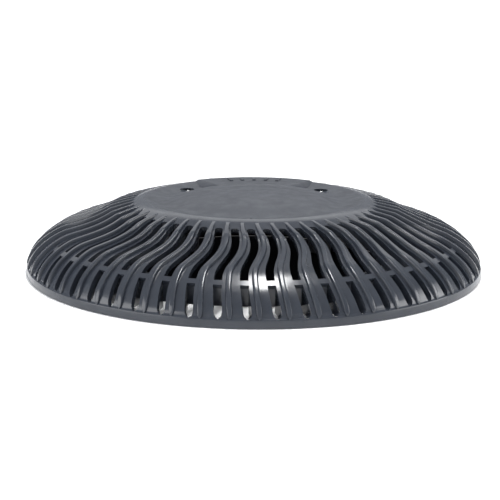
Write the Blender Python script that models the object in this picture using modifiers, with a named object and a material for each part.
"""Domed drain grate with raised wavy fins, screwed down on a mounting ring.

Metres, +Z up. The grate's axis is Z and the floor that it stands on is Z = 0. The two screws and
the plain pad sit towards +Y. A turn is an angle about +Z, counted from +X.
"""

import math

import bmesh
import bpy
from mathutils import Matrix, Vector

NAME = "floor_drain_grate"
GAP = 0.0003  # between pieces that touch

# Cover: overall form
COVER_RADIUS = 0.143
CREST_HEIGHT = 0.0442  # crest of the shoulder round the dished top
CREST_RADIUS = 0.0692
WALL = 0.003
RIM_HEIGHT = 0.0045  # smooth band below the fins
RIM_WALL = 0.003
KNEE_INSET = 0.025  # where the steep lower dome turns into the waist
KNEE_DROP = 0.0157
SHOULDER_REACH = 0.0213  # from the crest out to the shoulder's outer edge
SHOULDER_DROP = 0.0046
RIM_PULL = 0.46  # how far the lower dome rises before it bends in, as a share of its height
KNEE_PULL = 0.32
KNEE_SLOPE = 0.3
SHOULDER_OUTER_SLOPE = 0.55
SHOULDER_INNER_SLOPE = 0.27
CREST_SLOPE = 0.13

# Cover: dished top
DISH_INSET = 0.0142  # from the crest in to the lowest ring of the dish
DISH_DEPTH = 0.0022
CAP_RADIUS = 0.0438  # the low dome in the middle of the dish
CAP_FOOT = 0.0054
CAP_EDGE_RISE = 0.003
CAP_RISE = 0.0069
DISH_MIDWAY = 0.3  # of the dish's depth, halfway in from the crest
CAP_FOOT_RISE = 0.1  # of the cap's edge, where its foot leaves the dish
CAP_RINGS = (1.0, 0.7, 0.35)  # shares of the cap's radius
PAD_HALF_TURN = math.radians(33)
PAD_HEIGHT = 0.0012  # above the crest
PAD_REACH = 0.026  # from the crest in towards the axis
PAD_STEPS = 8

# Cover: slots and fins
SLOT_COUNT = 56
SLOT_WIDTH = 0.0046
SLOT_FOOT_WIDTH = 0.0026
SLOT_TOP_INSET = 0.0115  # slots start this far outside the crest
GROOVE_INSET = 0.0028  # the floor between the fins starts to sink here
GROOVE_REACH = 0.012  # and has sunk all the way this much further out
BRIDGE_INSET = 0.0151  # ring that parts the upper slots from the lower ones
BRIDGE_WIDTH = 0.0029
SLOT_FOOT_RISE = 0.0009  # above the smooth band
SLOT_TAPER_PLACE = 0.55  # of the way up the lower slot, where it reaches its full width
UPPER_ROWS = 4
FIN_HEIGHT = 0.0018
FIN_FOOT_HEIGHT = 0.0007
FIN_FOOT_REACH = 0.006  # height over which a fin grows out of the smooth band
FIN_WIDTH = 0.0034
FIN_TOP_SHARE = 0.66  # of its width at the base
FIN_BAR_SHARE = 0.6  # most of the bar's width that a fin takes
LEDGE_SHARE = 0.2  # of the bar's width, on the clockwise side of its fin
WAVE_HALF_LENGTH = 0.0301
WAVE_SWING = math.radians(1.255)
WAVE_PEAK_RADIUS = 0.0962
RIPPLE_SWING = math.radians(0.178)  # half as long, it sharpens the outer bend
RIPPLE_PEAK_RADIUS = 0.0993
PATTERN_TURN = math.radians(-1.385)
SKIRT_BOTTOM = 0.008

# Mounting ring and its gasket
GASKET_THICKNESS = 0.0015
RING_INNER_RADIUS = 0.086
RING_OUTER_RADIUS = 0.100
RING_THICKNESS = 0.003
COLLAR_THICKNESS = 0.003
COLLAR_HEIGHT = 0.005
GASKET_MARGIN = 0.0015
ARM_WIDTH = 0.016
ARM_THICKNESS = 0.005
FIXING_COUNT = 6
FIXING_RADIUS = 0.0026
RING_SIDES = 48

# Screws, and what they hold on to
SCREW_X = 0.044
SCREW_Y = 0.033
THREAD_RADIUS = 0.0025
SHANK_LENGTH = 0.020
HEAD_RADIUS = 0.00425
HEAD_HEIGHT = 0.005
SOCKET_RADIUS = 0.0023  # across the corners
SOCKET_DEPTH = 0.0025
SCREW_TRAVEL = 0.0064  # eight turns of a 0.8 mm thread
HEAD_CLEARANCE = 0.00035
SHANK_CLEARANCE = 0.0004
SEAT_PLATE = 0.0025
WASHER_THICKNESS = 0.001
TUBE_WALL = 0.0022
KEEPER_HEIGHT = 0.0016
KEEPER_WALL = 0.0015
KEEPER_CLEARANCE = 0.0007
KEEPER_ROOM = 0.0011  # under the keeper, above the tube's mouth
INSERT_WALL = 0.001
INSERT_LENGTH = 0.0088
BOSS_WALL = 0.0037
BOSS_TOP = 0.014
TUBE_LIFT = 0.0006  # between the boss and the cover's tube
ROUND_SIDES = 24
HOLE_SIDES = 12

# Sizes that follow from those above
INSERT_RADIUS = THREAD_RADIUS + GAP / 2 + INSERT_WALL
KEEPER_RADIUS = THREAD_RADIUS + GAP / 2 + KEEPER_WALL
KEEPER_BORE = KEEPER_RADIUS + KEEPER_CLEARANCE
HEAD_BORE = HEAD_RADIUS + HEAD_CLEARANCE
TUBE_RADIUS = max(HEAD_BORE, KEEPER_BORE) + TUBE_WALL
BOSS_RADIUS = INSERT_RADIUS + GAP + BOSS_WALL
TUBE_BOTTOM = BOSS_TOP + TUBE_LIFT
SEAT_UNDERSIDE = TUBE_BOTTOM + KEEPER_ROOM + KEEPER_HEIGHT + SCREW_TRAVEL + GAP
SEAT_HEIGHT = SEAT_UNDERSIDE + SEAT_PLATE


# ---- helpers -------------------------------------------------------------------------------


def clear_scene():
    for old in list(bpy.data.objects):
        bpy.data.objects.remove(old, do_unlink=True)


def collection(name):
    made = bpy.data.collections.new(name)
    bpy.context.scene.collection.children.link(made)
    return made


def material(name, colour, roughness, metallic=0.0):
    made = bpy.data.materials.new(name)
    made.use_nodes = True
    shader = made.node_tree.nodes["Principled BSDF"]
    shader.inputs["Base Color"].default_value = (*colour, 1.0)
    shader.inputs["Roughness"].default_value = roughness
    shader.inputs["Metallic"].default_value = metallic
    return made


def new_object(name, bm, home, finish=None):
    """Stores the bmesh as an object, shaded smooth with its hard edges kept."""
    mesh = bpy.data.meshes.new(name)
    bm.to_mesh(mesh)
    bm.free()
    mesh.shade_smooth()
    mesh.set_sharp_from_angle(angle=math.radians(30))
    made = bpy.data.objects.new(name, mesh)
    home.objects.link(made)
    if finish:
        mesh.materials.append(finish)
    return made


def hide_cutter(cutter):
    cutter.hide_render = True
    cutter.display_type = "WIRE"


def turned(name, profile, home, finish=None, sides=ROUND_SIDES, closed=True):
    """A profile of (radius, height) points, outer side running down, turned about the Z axis."""
    bm = bmesh.new()
    points = [bm.verts.new((radius, 0.0, height)) for radius, height in profile]
    for first, second in zip(points, points[1:]):
        bm.edges.new((first, second))
    if closed:
        bm.edges.new((points[-1], points[0]))
    made = new_object(name, bm, home, finish)
    screw = made.modifiers.new("turn", "SCREW")
    screw.steps = screw.render_steps = sides
    screw.use_merge_vertices = True
    screw.merge_threshold = 0.00001
    screw.use_smooth_shade = True
    return made


def tube_profile(inner, outer, bottom, top):
    return [(outer, top), (outer, bottom), (inner, bottom), (inner, top)]


def boolean(target, tool, operation):
    cut = target.modifiers.new(tool.name, "BOOLEAN")
    cut.operation = operation
    cut.object = tool
    cut.solver = "EXACT"


def screw_places():
    """The two screws: (side name, x, y)."""
    return [("left", -SCREW_X, SCREW_Y), ("right", SCREW_X, SCREW_Y)]


# ---- cover: outlines -----------------------------------------------------------------------


def bezier(points, t):
    a, b, c, d = points
    s = 1.0 - t
    return s**3 * a + 3 * s * s * t * b + 3 * s * t * t * c + t**3 * d


def crest_stretches():
    """The line along the fin tops in (radius, height), from the rim up to the crest."""
    rim = Vector((COVER_RADIUS, RIM_HEIGHT))
    knee = Vector((COVER_RADIUS - KNEE_INSET, CREST_HEIGHT - KNEE_DROP))
    shoulder = Vector((CREST_RADIUS + SHOULDER_REACH, CREST_HEIGHT - SHOULDER_DROP))
    crest = Vector((CREST_RADIUS, CREST_HEIGHT))
    at_knee = Vector((-1.0, KNEE_SLOPE))
    onto_shoulder = Vector((-1.0, SHOULDER_OUTER_SLOPE))
    off_shoulder = Vector((-1.0, SHOULDER_INNER_SLOPE))
    at_crest = Vector((-1.0, CREST_SLOPE))
    rise = Vector((0.0, RIM_PULL * (knee.y - rim.y)))
    waist = (knee.x - shoulder.x) / 3
    reach = SHOULDER_REACH / 3
    return [
        (rim, rim + rise, knee - KNEE_PULL * KNEE_INSET * at_knee, knee),
        (knee, knee + waist * at_knee, shoulder - waist * onto_shoulder, shoulder),
        (shoulder, shoulder + reach * off_shoulder, crest - reach * at_crest, crest),
    ]


def fin_top(place):
    """A point on the line of the fin tops; place runs from 0 at the rim to 3 at the crest."""
    stretches = crest_stretches()
    index = min(int(place), len(stretches) - 1)
    return bezier(stretches[index], place - index)


def outward(place):
    step = 0.001
    ahead = fin_top(min(place + step, 3.0)) - fin_top(max(place - step, 0.0))
    return Vector((ahead.y, -ahead.x)).normalized()


def place_where(reached):
    """The first place along the line, coming up from the rim, where the test holds."""
    low, high = 0.0, 3.0
    for _ in range(40):
        middle = (low + high) / 2
        if reached(fin_top(middle)):
            high = middle
        else:
            low = middle
    return high


def place_at_radius(radius):
    return place_where(lambda point: point.x <= radius)


def fin_depth(place):
    """How far the floor between the fins lies below their tops."""
    radius, height = fin_top(place)
    sink = min(max((radius - CREST_RADIUS - GROOVE_INSET) / GROOVE_REACH, 0.0), 1.0)
    rise = min(max((height - RIM_HEIGHT) / FIN_FOOT_REACH, 0.0), 1.0)
    foot = FIN_FOOT_HEIGHT + (FIN_HEIGHT - FIN_FOOT_HEIGHT) * rise
    return foot * sink if height > RIM_HEIGHT + GAP else 0.0


def floor_point(place):
    return fin_top(place) - outward(place) * fin_depth(place)


def inner_point(place):
    return floor_point(place) - outward(place) * WALL


def wave_turn(radius):
    """The sideways swing that gives slots and fins their wave."""
    half_turn = math.pi / WAVE_HALF_LENGTH
    wave = WAVE_SWING * math.cos(half_turn * (radius - WAVE_PEAK_RADIUS))
    ripple = RIPPLE_SWING * math.cos(2 * half_turn * (radius - RIPPLE_PEAK_RADIUS))
    return PATTERN_TURN + wave + ripple


def slot_places():
    """Places of the rows: slot top down to the bridge ring, and the bridge ring down to the foot."""
    top = CREST_RADIUS + SLOT_TOP_INSET
    bridge = COVER_RADIUS - BRIDGE_INSET
    rows = range(UPPER_ROWS + 1)
    upper = [place_at_radius(top + (bridge - top) * row / UPPER_ROWS) for row in rows]
    bridge_out = place_at_radius(bridge + BRIDGE_WIDTH)
    foot = place_where(lambda point: point.y >= RIM_HEIGHT + SLOT_FOOT_RISE)
    return upper, [bridge_out, bridge_out * SLOT_TAPER_PLACE, foot]


def skirt_radii():
    """Inner and outer radius of the skirt under the bridge ring."""
    upper, lower = slot_places()
    return inner_point(upper[-1]).x, inner_point(lower[0]).x


# ---- cover: mesh ---------------------------------------------------------------------------


def ring_of(bm, columns):
    """One vertex for each (radius, height, turn) column in each of the repeats round the cover."""
    pitch = 2 * math.pi / SLOT_COUNT
    ring = []
    for repeat in range(SLOT_COUNT):
        corner = []
        for radius, height, turn in columns:
            angle = turn + repeat * pitch
            corner.append(bm.verts.new((radius * math.cos(angle), radius * math.sin(angle), height)))
        ring.append(corner)
    return ring


def plain_ring(bm, radius, height):
    return ring_of(bm, [(radius, height, wave_turn(COVER_RADIUS))])


def slot_edges(place):
    """Turns of a slot's two edges at this place."""
    width = SLOT_FOOT_WIDTH if fin_depth(place) < 0.5 * FIN_HEIGHT and place < 1 else SLOT_WIDTH
    half = width / 2 / floor_point(place).x
    middle = wave_turn(fin_top(place).x)
    return middle - half, middle + half


def outer_ring(bm, place):
    """Slot edges, then the fin: base, both edges of its top, base. The next slot ends the bar."""
    first, second = slot_edges(place)
    bar = 2 * math.pi / SLOT_COUNT - (second - first)
    floor, top = floor_point(place), fin_top(place)
    fin = min(FIN_WIDTH / floor.x, FIN_BAR_SHARE * bar)
    flank = fin * (1 - FIN_TOP_SHARE) / 2
    base = second + bar * LEDGE_SHARE
    return ring_of(
        bm,
        [
            (floor.x, floor.y, first),
            (floor.x, floor.y, second),
            (floor.x, floor.y, base),
            (top.x, top.y, base + flank),
            (top.x, top.y, base + fin - flank),
            (floor.x, floor.y, base + fin),
        ],
    )


def back_ring(bm, point, place):
    """The slot's two edges at a (radius, height) point behind the skin."""
    return ring_of(bm, [(point[0], point[1], turn) for turn in slot_edges(place)])


def join_rings(bm, first, second, left_out=None):
    """Faces between two rings: column by column where they match, else one face for each repeat."""
    same = len(first[0]) == len(second[0])
    for repeat in range(SLOT_COUNT):
        following = (repeat + 1) % SLOT_COUNT
        near = first[repeat] + [first[following][0]]
        far = second[repeat] + [second[following][0]]
        if not same:
            bm.faces.new(near + far[::-1])
            continue
        for column in range(len(near) - 1):
            if column == left_out:
                continue
            bm.faces.new((near[column], near[column + 1], far[column + 1], far[column]))


def slot_walls(bm, outer, inner):
    """Side and end walls of one row of slots, from its rings' first to its last."""
    for repeat in range(SLOT_COUNT):
        for edge in (0, 1):
            for row in range(len(outer) - 1):
                near, far = outer[row][repeat][edge], outer[row + 1][repeat][edge]
                bm.faces.new((near, far, inner[row + 1][repeat][edge], inner[row][repeat][edge]))
        for row in (0, -1):
            skin, back = outer[row][repeat], inner[row][repeat]
            bm.faces.new((skin[0], skin[1], back[1], back[0]))


def dish_profile():
    """(radius, height) from just inside the crest to the edge of the middle."""
    floor = CREST_HEIGHT - DISH_DEPTH
    low = CREST_RADIUS - DISH_INSET
    edge = floor + CAP_EDGE_RISE
    points = [(low + DISH_INSET / 2, floor + DISH_DEPTH * DISH_MIDWAY), (low, floor)]
    points.append((CAP_RADIUS + CAP_FOOT, floor + CAP_EDGE_RISE * CAP_FOOT_RISE))
    for share in CAP_RINGS:
        points.append((CAP_RADIUS * share, floor + CAP_RISE - (floor + CAP_RISE - edge) * share**2))
    return points


def closed_middle(bm, ring, height):
    middle = bm.verts.new((0.0, 0.0, height))
    for repeat in range(SLOT_COUNT):
        bm.faces.new((ring[repeat][0], ring[(repeat + 1) % SLOT_COUNT][0], middle))


def cover_shell(home, finish):
    bm = bmesh.new()
    upper, lower = slot_places()
    groove = place_at_radius(CREST_RADIUS + GROOVE_INSET)
    upper_outer = [outer_ring(bm, place) for place in upper]
    upper_inner = [back_ring(bm, inner_point(place), place) for place in upper]
    for row in range(UPPER_ROWS):
        join_rings(bm, upper_outer[row], upper_outer[row + 1], left_out=0)
        join_rings(bm, upper_inner[row], upper_inner[row + 1], left_out=0)
    slot_walls(bm, upper_outer, upper_inner)
    # bridge ring, and the lower bars, which reach in as far as the skirt
    skirt_inner, skirt_outer = skirt_radii()
    rim_back = COVER_RADIUS - RIM_WALL
    backs = [(skirt_outer, inner_point(lower[0]).y), (skirt_outer, SKIRT_BOTTOM), (rim_back, RIM_HEIGHT)]
    lower_outer = [outer_ring(bm, place) for place in lower]
    lower_inner = [back_ring(bm, point, place) for point, place in zip(backs, lower)]
    join_rings(bm, upper_outer[-1], lower_outer[0])
    join_rings(bm, lower_outer[0], lower_outer[1], left_out=0)
    join_rings(bm, lower_outer[1], lower_outer[2], left_out=0)
    slot_walls(bm, lower_outer, lower_inner)
    join_rings(bm, lower_inner[0], lower_inner[1], left_out=1)
    join_rings(bm, lower_inner[1], lower_inner[2], left_out=0)
    # skirt under the bridge ring
    skirt_in = plain_ring(bm, skirt_inner, SKIRT_BOTTOM)
    join_rings(bm, upper_inner[-1], skirt_in)
    join_rings(bm, skirt_in, lower_inner[1])
    # smooth rim band
    band_top = outer_ring(bm, 0.0)
    band_foot = plain_ring(bm, COVER_RADIUS, 0.0)
    band_back = plain_ring(bm, rim_back, 0.0)
    join_rings(bm, lower_outer[-1], band_top)
    join_rings(bm, band_top, band_foot)
    join_rings(bm, band_foot, band_back)
    join_rings(bm, band_back, lower_inner[-1])
    # shoulder, dish and cap, above and below
    groove_outer = outer_ring(bm, groove)
    crest = plain_ring(bm, CREST_RADIUS, CREST_HEIGHT)
    join_rings(bm, upper_outer[0], groove_outer)
    join_rings(bm, groove_outer, crest)
    last = crest
    for radius, height in dish_profile():
        ring = plain_ring(bm, radius, height)
        join_rings(bm, last, ring)
        last = ring
    top_middle = CREST_HEIGHT - DISH_DEPTH + CAP_RISE
    closed_middle(bm, last, top_middle)
    under = plain_ring(bm, CREST_RADIUS, CREST_HEIGHT - WALL - DISH_DEPTH)
    join_rings(bm, upper_inner[0], under)
    last = under
    for radius, height in dish_profile()[2::2]:
        ring = plain_ring(bm, radius, height - WALL)
        join_rings(bm, last, ring)
        last = ring
    closed_middle(bm, last, top_middle - WALL)
    bmesh.ops.recalc_face_normals(bm, faces=bm.faces)
    return new_object("grate_cover", bm, home, finish)


def pad_block(home):
    """The plain raised sector behind the cap, as a block that is joined to the cover."""
    curve = bpy.data.curves.new("pad_outline", "CURVE")
    curve.dimensions = "2D"
    curve.fill_mode = "BOTH"
    inner, outer = CREST_RADIUS - PAD_REACH, CREST_RADIUS
    floor = CREST_HEIGHT - DISH_DEPTH - WALL / 2
    curve.extrude = (CREST_HEIGHT + PAD_HEIGHT - floor) / 2
    steps = range(PAD_STEPS + 1)
    turns = [math.pi / 2 + PAD_HALF_TURN * (2 * step / PAD_STEPS - 1) for step in steps]
    outline = [(outer, turn) for turn in turns] + [(inner, turn) for turn in reversed(turns)]
    spline = curve.splines.new("POLY")
    spline.points.add(len(outline) - 1)
    spline.use_cyclic_u = True
    for point, (radius, turn) in zip(spline.points, outline):
        point.co = (radius * math.cos(turn), radius * math.sin(turn), 0.0, 1.0)
    guide = bpy.data.objects.new("pad_outline", curve)
    guide.location.z = floor + curve.extrude
    home.objects.link(guide)
    block = mesh_from(guide, "pad_block", home)
    hide_cutter(block)
    return block


def mesh_from(source, name, home):
    """The curve's evaluated shape as a mesh object in its place; the curve is removed."""
    bpy.context.view_layer.update()
    evaluated = source.evaluated_get(bpy.context.evaluated_depsgraph_get())
    mesh = bpy.data.meshes.new_from_object(evaluated)
    bm = bmesh.new()
    bm.from_mesh(mesh)
    bmesh.ops.remove_doubles(bm, verts=bm.verts, dist=0.00001)
    bmesh.ops.recalc_face_normals(bm, faces=bm.faces)
    bm.to_mesh(mesh)
    bm.free()
    made = bpy.data.objects.new(name, mesh)
    made.matrix_world = source.matrix_world.copy()
    home.objects.link(made)
    bpy.data.objects.remove(source, do_unlink=True)
    return made


def cylinders(name, places, radius, bottom, top, home, sides=ROUND_SIDES):
    """Upright cylinders of one size at the (x, y) places, as one tool."""
    bm = bmesh.new()
    for x, y in places:
        bmesh.ops.create_cone(
            bm,
            cap_ends=True,
            segments=sides,
            radius1=radius,
            radius2=radius,
            depth=top - bottom,
            matrix=Matrix.Translation((x, y, (top + bottom) / 2)),
        )
    made = new_object(name, bm, home)
    hide_cutter(made)
    return made


def add_screw_tubes(cover, tools):
    places = [(x, y) for _, x, y in screw_places()]
    inside_wall = CREST_HEIGHT - DISH_DEPTH - WALL / 2
    tubes = cylinders("screw_tubes", places, TUBE_RADIUS, TUBE_BOTTOM, inside_wall, tools)
    boolean(cover, tubes, "UNION")
    beyond = CREST_HEIGHT + CAP_RISE
    shank_bore = THREAD_RADIUS + SHANK_CLEARANCE
    heads = cylinders("head_bores", places, HEAD_BORE, SEAT_HEIGHT, beyond, tools)
    shanks = cylinders("shank_bores", places, shank_bore, 0.0, beyond, tools)
    cavities = cylinders("keeper_bores", places, KEEPER_BORE, 0.0, SEAT_UNDERSIDE, tools)
    for tool in (heads, shanks, cavities):
        boolean(cover, tool, "DIFFERENCE")


def make_cover(home, tools, finish):
    cover = cover_shell(home, finish)
    boolean(cover, pad_block(tools), "UNION")
    add_screw_tubes(cover, tools)
    return cover


# ---- mounting ring -------------------------------------------------------------------------


def ring_levels():
    """Heights of the flange's underside and top."""
    bottom = GASKET_THICKNESS + GAP
    return bottom, bottom + RING_THICKNESS


def fixing_holes(tools):
    """Holes halfway between the collar and the flange's edge, one each side of the front and the back."""
    radius = (RING_INNER_RADIUS + COLLAR_THICKNESS + RING_OUTER_RADIUS) / 2
    step = 2 * math.pi / FIXING_COUNT
    places = [(radius * math.cos(step * i), radius * math.sin(step * i)) for i in range(FIXING_COUNT)]
    below, above = -RING_THICKNESS, SKIRT_BOTTOM
    return cylinders("fixing_holes", places, FIXING_RADIUS, below, above, tools, sides=HOLE_SIDES)


def arm_blocks(tools):
    """A flat arm from the ring's collar in to each boss."""
    bottom = ring_levels()[0]
    bm = bmesh.new()
    for _, x, y in screw_places():
        reach = RING_INNER_RADIUS + COLLAR_THICKNESS / 2 - math.hypot(x, y)
        turn = math.atan2(y, x)
        middle = math.hypot(x, y) + reach / 2
        size = Matrix.Diagonal((reach, ARM_WIDTH, ARM_THICKNESS, 1.0))
        shift = Matrix.Translation((middle, 0.0, bottom + ARM_THICKNESS / 2))
        bmesh.ops.create_cube(bm, size=1.0, matrix=Matrix.Rotation(turn, 4, "Z") @ shift @ size)
    made = new_object("arm_blocks", bm, tools)
    hide_cutter(made)
    return made


def make_mounting_ring(home, tools, finish, holes):
    bottom, top = ring_levels()
    collar_outer = RING_INNER_RADIUS + COLLAR_THICKNESS
    collar_top = top + COLLAR_HEIGHT
    profile = [
        (RING_OUTER_RADIUS, top),
        (RING_OUTER_RADIUS, bottom),
        (RING_INNER_RADIUS, bottom),
        (RING_INNER_RADIUS, collar_top),
        (collar_outer, collar_top),
        (collar_outer, top),
    ]
    ring = turned("mounting_ring", profile, home, finish, sides=RING_SIDES)
    places = [(x, y) for _, x, y in screw_places()]
    boolean(ring, arm_blocks(tools), "UNION")
    boolean(ring, cylinders("ring_bosses", places, BOSS_RADIUS, bottom, BOSS_TOP, tools), "UNION")
    bore = INSERT_RADIUS + GAP
    bore_bottom = min(BOSS_TOP - INSERT_LENGTH, screw_tip()) - GAP
    boolean(ring, cylinders("insert_bores", places, bore, bore_bottom, SEAT_HEIGHT, tools), "DIFFERENCE")
    boolean(ring, holes, "DIFFERENCE")
    return ring


def make_gasket(home, finish, holes):
    inner = RING_INNER_RADIUS + GASKET_MARGIN
    outer = RING_OUTER_RADIUS - GASKET_MARGIN
    profile = tube_profile(inner, outer, 0.0, GASKET_THICKNESS)
    gasket = turned("ring_gasket", profile, home, finish, sides=RING_SIDES)
    boolean(gasket, holes, "DIFFERENCE")
    return gasket


# ---- screws, washers, keepers and inserts --------------------------------------------------


def screw_bearing():
    """Height of the underside of a screw's head."""
    return SEAT_HEIGHT + WASHER_THICKNESS + 2 * GAP


def screw_tip():
    return screw_bearing() - SHANK_LENGTH


def screw_axis(side, x, y, home):
    axis = bpy.data.objects.new("screw_axis_" + side, None)
    axis.location = (x, y, 0.0)
    home.objects.link(axis)
    return axis


def seated(piece, axis):
    piece.parent = axis
    return piece


def make_insert(side, axis, home, finish):
    bore = THREAD_RADIUS + GAP / 2
    profile = tube_profile(bore, INSERT_RADIUS, BOSS_TOP - INSERT_LENGTH, BOSS_TOP - GAP)
    return seated(turned("thread_insert_" + side, profile, home, finish), axis)


def make_washer(side, axis, home, finish):
    bottom = SEAT_HEIGHT + GAP
    profile = tube_profile(THREAD_RADIUS + GAP, HEAD_RADIUS + GAP / 2, bottom, bottom + WASHER_THICKNESS)
    return seated(turned("screw_washer_" + side, profile, home, finish), axis)


def make_keeper(side, axis, home, finish):
    top = SEAT_UNDERSIDE - SCREW_TRAVEL - GAP
    profile = tube_profile(THREAD_RADIUS + GAP / 2, KEEPER_RADIUS, top - KEEPER_HEIGHT, top)
    return seated(turned("screw_keeper_" + side, profile, home, finish), axis)


def make_screw(side, x, y, axis, home, tools, finish):
    bearing = screw_bearing()
    top = bearing + HEAD_HEIGHT
    tip = screw_tip()
    edge = HEAD_HEIGHT / 12
    profile = [
        (0.0, top),
        (HEAD_RADIUS - edge, top),
        (HEAD_RADIUS, top - edge),
        (HEAD_RADIUS, bearing),
        (THREAD_RADIUS, bearing),
        (THREAD_RADIUS, tip + edge),
        (THREAD_RADIUS - edge, tip),
        (0.0, tip),
    ]
    screw = seated(turned("cover_screw_" + side, profile, home, finish, closed=False), axis)
    socket = cylinders("socket_" + side, [(x, y)], SOCKET_RADIUS, top - SOCKET_DEPTH, top + WALL, tools, sides=6)
    boolean(screw, socket, "DIFFERENCE")
    return screw


def main():
    clear_scene()
    home = collection(NAME)
    tools = collection("cutters")
    charcoal = material("charcoal_plastic", (0.04, 0.045, 0.056), 0.35)
    ring_plastic = material("ring_plastic", (0.05, 0.055, 0.065), 0.5)
    rubber = material("black_rubber", (0.02, 0.02, 0.02), 0.8)
    steel = material("stainless_steel", (0.62, 0.62, 0.60), 0.3, 1.0)
    brass = material("brass", (0.75, 0.55, 0.24), 0.35, 1.0)
    holes = fixing_holes(tools)
    make_cover(home, tools, charcoal)
    make_mounting_ring(home, tools, ring_plastic, holes)
    make_gasket(home, rubber, holes)
    for side, x, y in screw_places():
        axis = screw_axis(side, x, y, home)
        make_insert(side, axis, home, brass)
        make_washer(side, axis, home, steel)
        make_keeper(side, axis, home, rubber)
        make_screw(side, x, y, axis, home, tools, steel)


main()
